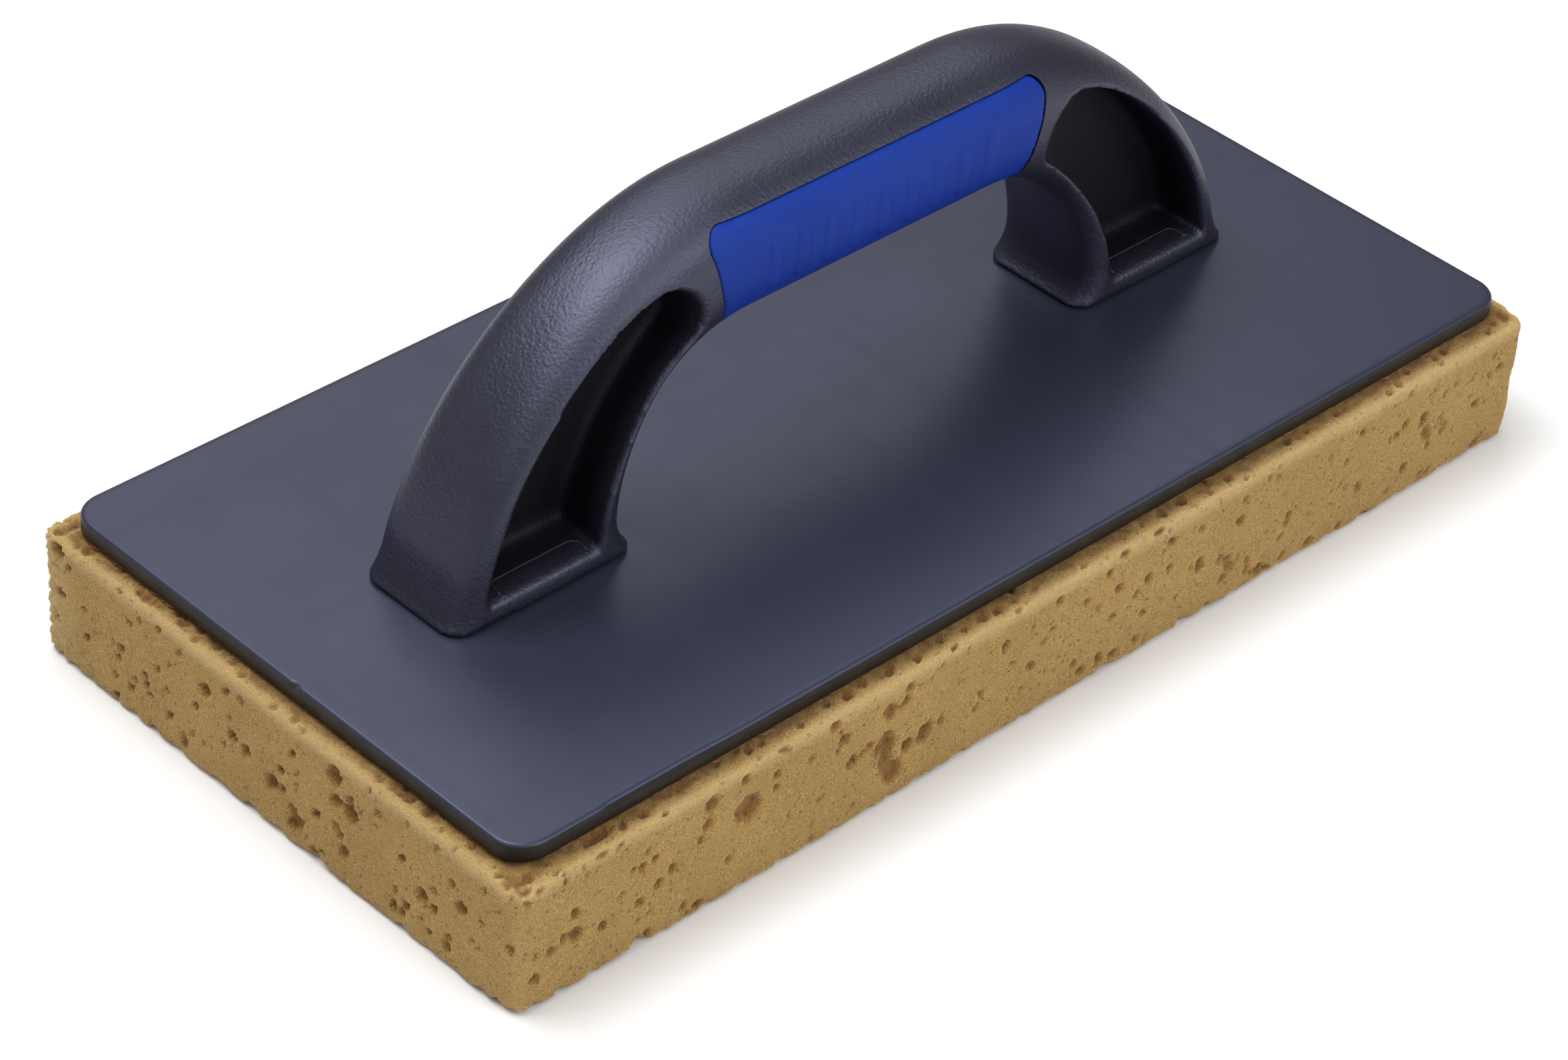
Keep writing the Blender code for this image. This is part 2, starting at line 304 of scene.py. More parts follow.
def outline_points(places, half_x, half_y, radius):
    """The points at those places on a rounded rectangle of this size, and the way out at each."""
    corner, turn, share = places.T
    angle = (corner + turn) * math.pi / 2
    diagonal = (corner + 0.5) * math.pi / 2
    out = np.stack([np.cos(angle), np.sin(angle)], axis=1)
    along = np.stack([-np.sin(angle), np.cos(angle)], axis=1)
    centre = np.stack(
        [(half_x - radius) * np.sign(np.cos(diagonal)), (half_y - radius) * np.sign(np.sin(diagonal))],
        axis=1,
    )
    side = 2 * (np.where(corner % 2 == 0, half_x, half_y) - radius)
    return centre + radius * out + along * (share * side)[:, None], out


def slab_profile(height, bottom_radius, top_radius, bottom_reach, top_reach, pitch):
    """(inset, height, outward share, upward share) from the underside, round the side, to the top."""
    rows = []
    for inset in spaced(bottom_reach, bottom_radius, pitch):
        rows.append((inset, 0.0, 0.0, -1.0))
    rows += arc_rows(bottom_radius, bottom_radius, -90, pitch)
    for level in spaced(bottom_radius, height - top_radius, pitch)[1:-1]:
        rows.append((0.0, level, 1.0, 0.0))
    rows += arc_rows(top_radius, height - top_radius, 0, pitch)
    for inset in spaced(top_radius, top_reach, pitch)[1:]:
        rows.append((inset, height, 0.0, 1.0))
    return rows


def spaced(start, end, pitch):
    steps = max(1, round(abs(end - start) / pitch))
    return [start + (end - start) * step / steps for step in range(steps + 1)]


def arc_rows(radius, level, start, pitch):
    """A quarter circle of profile rows round (radius, level), from this angle in degrees."""
    steps = max(4, round(radius * math.pi / 2 / pitch))
    rows = []
    for step in range(steps + 1):
        angle = math.radians(start + 90 * step / steps)
        outward, upward = math.cos(angle), math.sin(angle)
        rows.append((radius * (1 - outward), level + radius * upward, outward, upward))
    return rows


# ---------------------------------------------------------------- sponge
def fractal(points, size, seed):
    """Noise from about -1 to 1, with features about this many millimetres across."""
    offset = Vector((seed * 17.3, seed * 5.1, seed * 9.7))
    return np.array([noise.noise(Vector(point) / size + offset) for point in points.tolist()])


def rounded_step(value, low, high):
    share = np.clip((value - low) / (high - low), 0.0, 1.0)
    return share * share * (3 - 2 * share)


def outside_plate(points):
    """How far each point lies outside the plate's outline, mm."""
    return np.maximum(np.abs(points[:, 0]) - PLATE_HIGH.x, np.abs(points[:, 1]) - PLATE_HIGH.y)


def make_pores(points, height, fine_count, rng):
    """(centre, radius, depth, stretch axis, stretch) of each hole in the sponge."""
    pores = []
    for count, small, large in SIDE_HOLES:
        for _ in range(count):
            pores.append((rng.randrange(fine_count), rng.uniform(small, large)))
    for count, small, large in BOTTOM_HOLES:
        for _ in range(count):
            pores.append((rng.randrange(fine_count, len(points)), rng.uniform(small, large)))
    made = []
    for index, radius in pores:
        if points[index][2] > height - 1.0:
            radius = min(radius, TOP_HOLE_RADIUS)
        depth = min(radius * rng.uniform(0.6, 1.2), DEEPEST_HOLE)
        made.append((points[index], radius, depth, random_axis(rng), rng.uniform(0.55, 1.0)))
    from_plate = outside_plate(points)
    joint = np.flatnonzero((points[:, 2] > height - 0.1) & (np.abs(from_plate - 0.6) < 0.7))
    for _ in range(JOINT_HOLES):
        radius = rng.uniform(0.7, 1.4)
        place = points[rng.choice(joint)]
        made.append((place, radius, 0.8 * radius, random_axis(rng), rng.uniform(0.6, 1.0)))
    for place, radius, depth in LARGE_HOLES:
        made.append((np.array(place), radius, depth, random_axis(rng), rng.uniform(0.85, 1.0)))
    return made


def random_axis(rng):
    """The way in which a hole is stretched, upright more often than not."""
    return np.array(Vector((rng.gauss(0, 1), rng.gauss(0, 1), rng.gauss(0, 2.5))).normalized())


def pore_depths(points, pores, warp):
    """How deep each point lies in the holes, mm."""
    deepest = np.zeros(len(points))
    for centre, radius, depth, axis, stretch in pores:
        near = np.abs(points - centre).max(axis=1) < 2.2 * radius
        offset = points[near] - centre
        along = offset @ axis
        offset = offset - np.outer(along * (1 - stretch), axis)
        distance = np.linalg.norm(offset, axis=1) / radius + 0.28 * warp[near]
        found = depth * (1 - rounded_step(distance, 0.55, 1.02))
        deepest[near] = np.maximum(deepest[near], found)
    return deepest


def fill_inside(outline, pitch, margin, rng):
    """The points added inside a convex outline, none if pitch is 0, and the triangles over it all."""
    inner = []
    if pitch:
        reach_x, reach_y = np.abs(outline).max(axis=0) - margin
        for x in spaced(-reach_x, reach_x, pitch):
            for y in spaced(-reach_y, reach_y, pitch):
                inner.append((x + rng.uniform(-0.35, 0.35) * pitch, y + rng.uniform(-0.35, 0.35) * pitch))
    points = [Vector(point) for point in outline.tolist() + inner]
    count = len(outline)
    edges = [(i, (i + 1) % count) for i in range(count)]
    found = geometry.delaunay_2d_cdt(points, edges, [], 1, 1e-6)
    added = np.array([tuple(point) for point in found[0]][count:]).reshape(-1, 2)
    return added, [list(face) for face in found[2]]


def keep_values(obj, name, values):
    """Stores a value at each point of a mesh, for its material to read."""
    attribute = obj.data.attributes.new(name, "FLOAT", "POINT")
    attribute.data.foreach_set("value", values.astype(np.float32))


def make_sponge():
    rng = random.Random(SEED)
    half_x, half_y, height = SPONGE_HIGH.x, SPONGE_HIGH.y, SPONGE_HIGH.z
    places = outline_places(half_x, half_y, SPONGE_CORNER_RADIUS, SPONGE_PITCH)
    profile = slab_profile(
        height,
        SPONGE_BOTTOM_RADIUS,
        SPONGE_TOP_RADIUS,
        SPONGE_BOTTOM_REACH,
        SPONGE_TOP_REACH,
        SPONGE_PITCH,
    )
    points, normals = [], []
    for inset, level, outward, upward in profile:
        radius = max(SPONGE_CORNER_RADIUS - inset, 0.5)
        flat, out = outline_points(places, half_x - inset, half_y - inset, radius)
        points.append(np.column_stack([flat, np.full(len(flat), level)]))
        normals.append(np.column_stack([out * outward, np.full(len(flat), upward)]))
    columns = len(places)
    faces = ring_faces(len(profile), columns)
    points, normals = np.concatenate(points), np.concatenate(normals)
    fine_count = len(points)

    bottom_margin = SPONGE_BOTTOM_REACH + 1
    inner, bottom_faces = fill_inside(points[:columns, :2], SPONGE_BOTTOM_PITCH, bottom_margin, rng)
    index = np.concatenate([np.arange(columns), fine_count + np.arange(len(inner))])
    faces += [index[face][::-1].tolist() for face in bottom_faces]
    points = np.concatenate([points, np.column_stack([inner, np.zeros(len(inner))])])
    normals = np.concatenate([normals, np.tile([0.0, 0.0, -1.0], (len(inner), 1))])
    _, top_faces = fill_inside(points[fine_count - columns : fine_count, :2], 0, 0, rng)
    faces += [[fine_count - columns + i for i in face] for face in top_faces]

    # The surface swells and is grainy all over, and is ragged at its lower edge and at one torn corner.
    warp = fractal(points, 1.1, 1)
    pores = pore_depths(points, make_pores(points, height, fine_count, rng), warp)
    swell = 0.35 * fractal(points, 38.0, 2) + 0.25 * fractal(points, 6.0, 3)
    grain = 0.10 * warp + 0.07 * np.array([rng.uniform(-1, 1) for _ in range(len(points))])
    ragged = 1.5 * np.clip(fractal(points, 3.6, 4), 0, 1) * (1 - rounded_step(points[:, 2], 0.0, 4.0))
    torn = 1 - rounded_step(np.hypot(points[:, 0] + half_x, points[:, 1] - half_y), 3.0, 13.0)
    ragged += torn * (0.35 + 0.9 * fractal(points, 1.3, 6))
    under_plate = rounded_step(half_y - np.abs(points[:, 1]), 5, 7)
    under_plate = under_plate * rounded_step(points[:, 2], height - 2, height)
    rest = points
    depth = np.maximum(SPONGE_SLACK - swell - grain + ragged, 0.0) * (1 - under_plate) + pores
    points = points - normals * depth[:, None]

    sponge = object_from("sponge_foam", points, faces)
    shade_smooth(sponge)
    # Painted shade: the holes are coloured darker and browner the deeper they go.
    keep_values(sponge, "pore_shade", np.clip(pores, 0, 1))
    # Painted highlight: the top edge and the upright corners are coloured lighter, as where they catch the
    # light; the torn corner's lighter foam goes in the same attribute.
    from_sides = np.minimum(half_x - np.abs(rest[:, 0]), half_y - np.abs(rest[:, 1]))
    from_top_edge = np.hypot(from_sides, rest[:, 2] - height)
    across_corner = (half_x - np.abs(rest[:, 0])) + (half_y - np.abs(rest[:, 1]))
    from_edge = np.minimum(from_top_edge, across_corner)
    on_top = rounded_step(rest[:, 2], height - 0.3, height) * rounded_step(from_sides, 1.5, 3.0)
    painted_edge_highlight = (1 - rounded_step(from_edge, 0.8, 4.0)) * (1 - 0.3 * on_top)
    keep_values(sponge, "edge", np.maximum(painted_edge_highlight, 0.8 * torn))
    # Glue stain and painted shade: the top margin is coloured darker and browner next to the plate.
    from_plate = outside_plate(rest)
    creep = 0.9 + 1.3 * fractal(points, 5.0, 5) + 0.6 * warp
    glue_stain_and_shade = (1 - rounded_step(from_plate - creep, -0.5, 0.9)) * (rest[:, 2] > height - 1.0)
    keep_values(sponge, "glue", glue_stain_and_shade)
    return sponge


# ---------------------------------------------------------------- handle
def cubic(points, t):
    """The point at t on a cubic Bezier curve in XZ."""
    a, b, c, d = (Vector(point) for point in points)
    u = 1.0 - t
    return a * u**3 + b * (3 * u * u * t) + c * (3 * u * t * t) + d * t**3


def section_ring(outer, inner, half_width, roundness, squared=0.0):
    """A superellipse around the line from inner to outer in XZ, this wide to each side in Y.

    The foot's sections turn from that into a rectangle with round corners, by the squared share.
    """
    angle = 2 * math.pi * np.arange(SECTION_POINTS) / SECTION_POINTS
    across, along = np.sin(angle), np.cos(angle)
    reach = (np.abs(across) ** roundness + np.abs(along) ** roundness) ** (-1 / roundness)
    centre, half = (outer + inner) / 2, (outer - inner) / 2
    if squared:
        reach += (rectangle_reach(along, across, half.length, half_width) - reach) * squared
    return np.column_stack(
        [centre.x + half.x * along * reach, across * reach * half_width, centre.y + half.y * along * reach]
    )


def rectangle_reach(along, across, half_length, half_width):
    """How far each direction goes before it meets the foot's outline, as a share of the half sizes."""
    x, y = np.abs(along) * half_length, np.abs(across) * half_width
    corner_x, corner_y = half_length - FOOT_CORNER_RADIUS, half_width - FOOT_CORNER_RADIUS
    to_side = 1 / np.maximum(np.abs(along), np.abs(across))
    square = x * x + y * y
    middle = x * corner_x + y * corner_y
    rest = corner_x**2 + corner_y**2 - FOOT_CORNER_RADIUS**2
    to_corner = (middle + np.sqrt(np.maximum(middle**2 - square * rest, 0.0))) / square
    in_corner = (to_corner * x > corner_x) & (to_corner * y > corner_y)
    return np.where(in_corner, to_corner, to_side)


def leg_stations():
    """The arguments of the handle's sections from the grip down to the foot."""
    stations = []
    for step in range(LEG_STEPS + 1):
        t = step / LEG_STEPS
        roundness = GRIP_ROUNDNESS + (LEG_ROUNDNESS - GRIP_ROUNDNESS) * math.sin(t * math.pi / 2) ** 4
        stations.append((cubic(OUTER_CURVE, t), cubic(INNER_CURVE, t), HANDLE_HALF_WIDTH, roundness, 0.0))
    for step in range(1, ANKLE_STEPS + 1):
        share = step / ANKLE_STEPS
        outer, inner = cubic(FOOT_OUTER_CURVE, share), cubic(FOOT_INNER_CURVE, share)
        stations.append((outer, inner, HANDLE_HALF_WIDTH, LEG_ROUNDNESS, share))
    return stations


def make_bow(name):
    """The handle's outer shape, from foot to foot."""
    right = [section_ring(*station) for station in reversed(leg_stations())]
    left = [ring * (-1, 1, 1) for ring in reversed(right)]
    return loft(name, right + left)


def prism(name, outline):
    """A cutter over an XZ outline, right through the handle in Y."""
    reach = HANDLE_HALF_WIDTH + CUTTER_OVERRUN
    rings = [[(x, y, z) for x, z in outline] for y in (-reach, reach)]
    return loft(name, rings)


def pocket_cutters():
    """Four pockets, one on each side of each leg, whose floors round down at the mouth."""
    outline = [Vector(POCKET_OUTER_CURVE[-1])]
    for curve in (POCKET_INNER_CURVE, POCKET_CROWN_CURVE, POCKET_OUTER_CURVE):
        outline += [cubic(curve, step / POCKET_STEPS) for step in range(POCKET_STEPS)]
    outline = np.array([tuple(point) for point in outline])
    centre = outline.mean(axis=0)
    inner = centre + (outline - centre) * POCKET_DRAFT
    on_floor = 1 - rounded_step(outline[:, 1], POCKET_FLOOR, POCKET_FLOOR + 6)
    web = WEB_THICKNESS / 2
    levels = [HANDLE_HALF_WIDTH + CUTTER_OVERRUN]
    levels += spaced(HANDLE_HALF_WIDTH, HANDLE_HALF_WIDTH - LIP_RADIUS, LIP_RADIUS / LIP_STEPS)
    levels.append(web)
    rings = []
    for level in levels:
        into_lip = min(max(level - (HANDLE_HALF_WIDTH - LIP_RADIUS), 0.0), LIP_RADIUS)
        drop = LIP_RADIUS - math.sqrt(LIP_RADIUS**2 - into_lip**2)
        share = (min(level, HANDLE_HALF_WIDTH) - web) / (HANDLE_HALF_WIDTH - web)
        flat = inner + (outline - inner) * share
        flat[:, 1] -= drop * on_floor
        rings.append(np.column_stack([flat[:, 0], np.full(len(flat), level), flat[:, 1]]))
    cutters = []
    for end in (1, -1):
        for side in (1, -1):
            cutters.append(loft("pocket", [ring * (end, side, 1) for ring in rings]))
    return cutters


def insert_outline(grow):
    """The insert's side view in XZ: wide above, narrower below, with round upper corners."""
    top_x = INSERT_HALF_LENGTH_TOP + grow
    bottom_x = INSERT_HALF_LENGTH_BOTTOM + grow
    top = INSERT_TOP_Z + grow
    corner = INSERT_CORNER_RADIUS
    right = [(bottom_x, GRIP_BOTTOM - corner)]
    for step in range(INSERT_CORNER_STEPS + 1):
        angle = step / INSERT_CORNER_STEPS * math.pi / 2
        right.append((top_x - corner + corner * math.cos(angle), top - corner + corner * math.sin(angle)))
    return right + [(-x, z) for x, z in reversed(right)]


def grip_core(inset):
    """A cutter with the grip's section, smaller all round by the inset and longer than the insert."""
    rings = []
    for x in (-OUTER_CURVE[1][0], OUTER_CURVE[1][0]):
        outer = Vector((x, GRIP_TOP - inset))
        inner = Vector((x, GRIP_BOTTOM + inset))
        rings.append(section_ring(outer, inner, HANDLE_HALF_WIDTH - inset, GRIP_ROUNDNESS))
    return loft("core", rings)


def mesh_arrays(mesh):
    """The points, in millimetres, and normals of a mesh."""
    points = np.zeros(len(mesh.vertices) * 3)
    mesh.vertices.foreach_get("co", points)
    normals = np.zeros(len(mesh.vertices) * 3)
    mesh.vertex_normals.foreach_get("vector", normals)
    return points.reshape(-1, 3) / MM, normals.reshape(-1, 3)


def smooth_where(obj, name, weights, rounds):
    """Smooths an object's mesh by these weights."""
    group = obj.vertex_groups.new(name=name)
    for index in np.flatnonzero(weights > 0.01).tolist():
        group.add([index], float(weights[index]), "REPLACE")
    smooth = obj.modifiers.new(name, "SMOOTH")
    smooth.factor = 0.5
    smooth.iterations = rounds
    smooth.vertex_group = name
    settle(obj)
    obj.vertex_groups.clear()


def surface_tree(*objects):
    """The surfaces of these objects, to measure distances to."""
    points, faces = [], []
    for obj in objects:
        start = len(points)
        points += [vertex.co for vertex in obj.data.vertices]
        faces += [[start + index for index in face.vertices] for face in obj.data.polygons]
    return BVHTree.FromPolygons(points, faces)


def witness_lines(handle):
    """Four fine raised lines, one on each pocket's floor, which dip into it at the mouth."""
    tree = surface_tree(handle)
    down = Vector((0.0, 0.0, -1.0))
    near, far = LINE_X
    mouth = HANDLE_HALF_WIDTH - LINE_INSET
    half_x, half_y = (far - near) / 2, (mouth - LINE_Y) / 2
    places = outline_places(half_x, half_y, LINE_RADIUS, LINE_PITCH)
    middle, _ = outline_points(places, half_x, half_y, LINE_RADIUS)
    middle = middle + ((near + far) / 2, LINE_Y + half_y)
    dip = LINE_DIP * rounded_step(middle[:, 1], mouth - 1.4, mouth - 0.4)
    faces = np.array(ring_faces(LINE_SIDES + 1, len(places))) % (LINE_SIDES * len(places))
    lines = []
    for end in (1, -1):
        for side in (1, -1):
            starts = [Vector((x * end, y * side, POCKET_FLOOR + 5)) * MM for x, y in middle]
            floor = np.array([tree.ray_cast(place, down)[0].z for place in starts]) / MM - dip
            rings = []
            for step in range(LINE_SIDES):
                angle = 2 * math.pi * step / LINE_SIDES
                out, up = LINE_HALF_WIDTH * math.cos(angle), LINE_HEIGHT * math.sin(angle)
                flat, _ = outline_points(places, half_x + out, half_y + out, LINE_RADIUS + out)
                flat = flat + ((near + far) / 2, LINE_Y + half_y)
                rings.append(np.column_stack([flat * (end, side), floor + up]))
            lines.append(object_from("line", np.concatenate(rings), faces.tolist()))
            face_outwards(lines[-1])
    return lines


def painted_line_highlight(handle):
    """How much painted highlight each point gets, from 0 to 1: the tops of the witness lines get it."""
    points, normals = mesh_arrays(handle.data)
    x, y = np.abs(points[:, 0]), np.abs(points[:, 1])
    near, far = LINE_X
    past_x = np.abs(x - (near + far) / 2) - ((far - near) / 2 - LINE_RADIUS)
    past_y = LINE_Y + LINE_RADIUS - y
    outside = np.hypot(np.maximum(past_x, 0), np.maximum(past_y, 0))
    outside = outside + np.minimum(np.maximum(past_x, past_y), 0)
    low, high = LINE_LEVELS
    raised = (normals[:, 2] > 0.3) & (points[:, 2] > low) & (points[:, 2] < high)
    return (np.abs(outside - LINE_RADIUS) < 0.5 * LINE_HALF_WIDTH) * raised.astype(float)


def distances(obj, tree):
    """How far each point of a mesh lies from the surfaces in a tree, mm."""
    return np.array([tree.find_nearest(v.co)[3] for v in obj.data.vertices]) / MM


def make_handle():
    handle = make_bow("handle_shell")
    cutters = pocket_cutters()
    skin, pockets = surface_tree(handle), surface_tree(*cutters)
    for cutter in cutters:
        boolean(handle, cutter)
    remesh_and_smooth(handle, HANDLE_VOXEL, HANDLE_ROUNDS)
    settle(handle, cutters)
    points, _ = mesh_arrays(handle.data)
    inside = 1 - rounded_step(np.abs(points[:, 1]), *FILLET_FADE)
    smooth_where(handle, "fillets", inside * (points[:, 2] > POCKET_FLOOR - 1.5), FILLET_ROUNDS)
    on_rim = np.maximum(distances(handle, skin), distances(handle, pockets))
    above_lip = points[:, 2] > POCKET_FLOOR + 1.0
    smooth_where(handle, "rims", above_lip * (1 - rounded_step(on_rim, *RIM_FADE)), RIM_ROUNDS)
    decimate_to(handle, HANDLE_TRIANGLES)

    recess = prism("recess", insert_outline(GAP))
    core = grip_core(INSERT_DEPTH + GAP)
    boolean(recess, core)
    settle(recess, [core])
    lines = witness_lines(handle)
    boolean(handle, recess)
    for line in lines:
        boolean(handle, line, "UNION")
    settle(handle, [recess, *lines])
    shade_smooth(handle)
    handle.data.set_sharp_from_angle(angle=math.radians(SHARP_ANGLE))
    points, _ = mesh_arrays(handle.data)
    # Painted shade: the pockets' insides are coloured darker, and reflect less, the deeper they lie.
    into_pocket = rounded_step(HANDLE_HALF_WIDTH - np.abs(points[:, 1]), *POCKET_SHADE_IN)
    under_skin = rounded_step(distances(handle, skin), *POCKET_SHADE_UNDER)
    keep_values(handle, "pocket", into_pocket * under_skin)
    keep_values(handle, "line_highlight", painted_line_highlight(handle))
    return handle


def make_insert():
    insert = make_bow("grip_sleeve")
    window = prism("window", insert_outline(0.0))
    core = grip_core(INSERT_DEPTH)
    boolean(insert, window, "INTERSECT")
    boolean(insert, core)
    remesh_and_smooth(insert, INSERT_VOXEL, INSERT_ROUNDS)
    settle(insert, [window, core])
    raise_bars(insert)
    shade_smooth(insert)
    return insert


def raise_bars(insert):
    """A row of plain rounded bars stands out of each side of the insert, for grip."""
    points, normals = mesh_arrays(insert.data)
    outward = rounded_step(normals[:, 1] * np.sign(points[:, 1]), 0.2, 0.6)
    nearest = np.clip(np.round(points[:, 0] / BAR_SPACING), -(BAR_COUNT // 2), BAR_COUNT // 2)
    across = points[:, 0] - nearest * BAR_SPACING
    up = np.maximum(np.abs(points[:, 2] - BAR_CENTRE_Z) - (BAR_HALF_HEIGHT - BAR_HALF_WIDTH), 0.0)
    outside = np.hypot(across, up) - BAR_HALF_WIDTH
    height = BAR_HEIGHT * (1 - rounded_step(outside, -0.4, 0.2)) * outward
    points += normals * height[:, None]
    insert.data.vertices.foreach_set("co", (points * MM).ravel())
    insert.data.update()


# ---------------------------------------------------------------- plate and glue
def edge_dents(flat):
    """How far the plate's upper edge is pushed in, by a nick on the left and a rubbed stretch in front."""
    nick = 0.5 * np.exp(-(((flat[:, 1] + 3.5) / 0.6) ** 2)) * (flat[:, 0] < 0)
    along = flat[:, 0]
    rubbed = rounded_step(along, -116.0, -115.0) * (1 - rounded_step(along, -98.0, -80.0))
    return nick + 0.3 * rubbed * (flat[:, 1] < 0)


def make_plate():
    half_x, half_y = PLATE_HIGH.x, PLATE_HIGH.y
    height = PLATE_HIGH.z - PLATE_LOW.z
    places = outline_places(half_x, half_y, PLATE_CORNER_RADIUS, PLATE_PITCH)
    profile = slab_profile(
        height,
        PLATE_BOTTOM_RADIUS,
        PLATE_TOP_RADIUS,
        PLATE_BOTTOM_REACH,
        PLATE_TOP_REACH,
        PLATE_PROFILE_PITCH,
    )
    rings = []
    for inset, level, _, _ in profile:
        radius = PLATE_CORNER_RADIUS - inset
        flat, out = outline_points(places, half_x - inset, half_y - inset, radius)
        near_top = rounded_step(level, height - 1.6, height - 0.9) * (1 - rounded_step(inset, 1.0, 2.0))
        flat = flat - out * (edge_dents(flat) * near_top)[:, None]
        rings.append(np.column_stack([flat, np.full(len(flat), PLATE_LOW.z + level)]))
    plate = loft("plate_panel", rings)
    shade_smooth(plate)
    plate.data.materials.append(plate_look())
    plate.data.materials.append(plate_shaded_side_look())
    # Painted shade: the sideways faces get the darker, duller side material.
    side_limit = math.sin(math.radians(PLATE_SIDE_LIMIT))
    for face in plate.data.polygons:
        face.material_index = int(face.normal.z < side_limit)
    return plate


def make_glue():
    """The thin bed of glue, which creeps out past the plate's edge here and there."""
    half_x, half_y = PLATE_HIGH.x, PLATE_HIGH.y
    places = outline_places(half_x, half_y, PLATE_CORNER_RADIUS, GLUE_PITCH)
    flat, out = outline_points(places, half_x, half_y, PLATE_CORNER_RADIUS)
    coarse = np.array([noise.noise(Vector((x, y, 0)) / 6.0) for x, y in flat])
    fine = np.array([noise.noise(Vector((x, y, 9)) / 1.7) for x, y in flat])
    creep = -0.9 + 1.9 * np.clip(coarse + 0.5 * fine, -0.4, 0.7)
    rings = []
    for inset, share in GLUE_PROFILE:
        points = flat + out * (creep - inset)[:, None]
        level = FILM_LOW.z + (FILM_HIGH.z - FILM_LOW.z) * share
        rings.append(np.column_stack([points, np.full(len(points), level)]))
    glue = loft("glue_bed", rings)
    shade_smooth(glue)
    return glue


# ---------------------------------------------------------------- materials
class Look:
    """A material, with short ways to add nodes to it."""

    def __init__(self, name, **uniform):
        self.material = bpy.data.materials.new(name)
        self.material.use_nodes = True
        self.nodes = self.material.node_tree.nodes
        self.links = self.material.node_tree.links
        self.shader = self.nodes["Principled BSDF"]
        self.place = self.nodes.new("ShaderNodeTexCoord").outputs["Object"]
        for socket, value in uniform.items():
            self.put(self.shader.inputs[socket.replace("_", " ")], value)

    def put(self, socket, value):
        if isinstance(value, bpy.types.NodeSocket):
            self.links.new(value, socket)
        else:
            socket.default_value = value

    def add(self, kind, inputs, output=0, **settings):
        node = self.nodes.new(kind)
        for name, value in settings.items():
            setattr(node, name, value)
        for key, value in inputs.items():
            self.put(node.inputs[key], value)
        return node.outputs[output]

    def noise(self, size, detail=2.0, stretch=(1.0, 1.0, 1.0)):
        """Noise from 0 to 1 with features about this many millimetres across."""
        place = self.place
        if stretch != (1.0, 1.0, 1.0):
            place = self.add("ShaderNodeMapping", {"Vector": place, "Scale": stretch})
        return self.add("ShaderNodeTexNoise", {"Vector": place, "Scale": 1 / (size * MM), "Detail": detail})

    def cells(self, size, feature="F1"):
        """The distance from the middle of cells about this many millimetres across."""
        inputs = {"Vector": self.place, "Scale": 1 / (size * MM)}
        return self.add("ShaderNodeTexVoronoi", inputs, feature=feature)

    def ranged(self, value, low, high, to_low=0.0, to_high=1.0):
        inputs = {"Value": value, "From Min": low, "From Max": high, "To Min": to_low, "To Max": to_high}
        return self.add("ShaderNodeMapRange", inputs)

    def mix(self, share, first, second):
        return self.add("ShaderNodeMix", {0: share, 6: first, 7: second}, 2, data_type="RGBA")

    def maths(self, operation, first, second):
        return self.add("ShaderNodeMath", {0: first, 1: second}, operation=operation)

    def attribute(self, name):
        return self.add("ShaderNodeAttribute", {}, 2, attribute_name=name)

    def bump(self, height, depth, strength=1.0, under=None):
        """A bump this many millimetres deep, over another bump if one is given."""
        inputs = {"Height": height, "Distance": depth * MM, "Strength": strength}
        if under is not None:
            inputs["Normal"] = under
        return self.add("ShaderNodeBump", inputs)

    def finish(self, colour, roughness, normal):
        self.put(self.shader.inputs["Base Color"], colour)
        self.put(self.shader.inputs["Roughness"], roughness)
        self.put(self.shader.inputs["Normal"], normal)
        return self.material


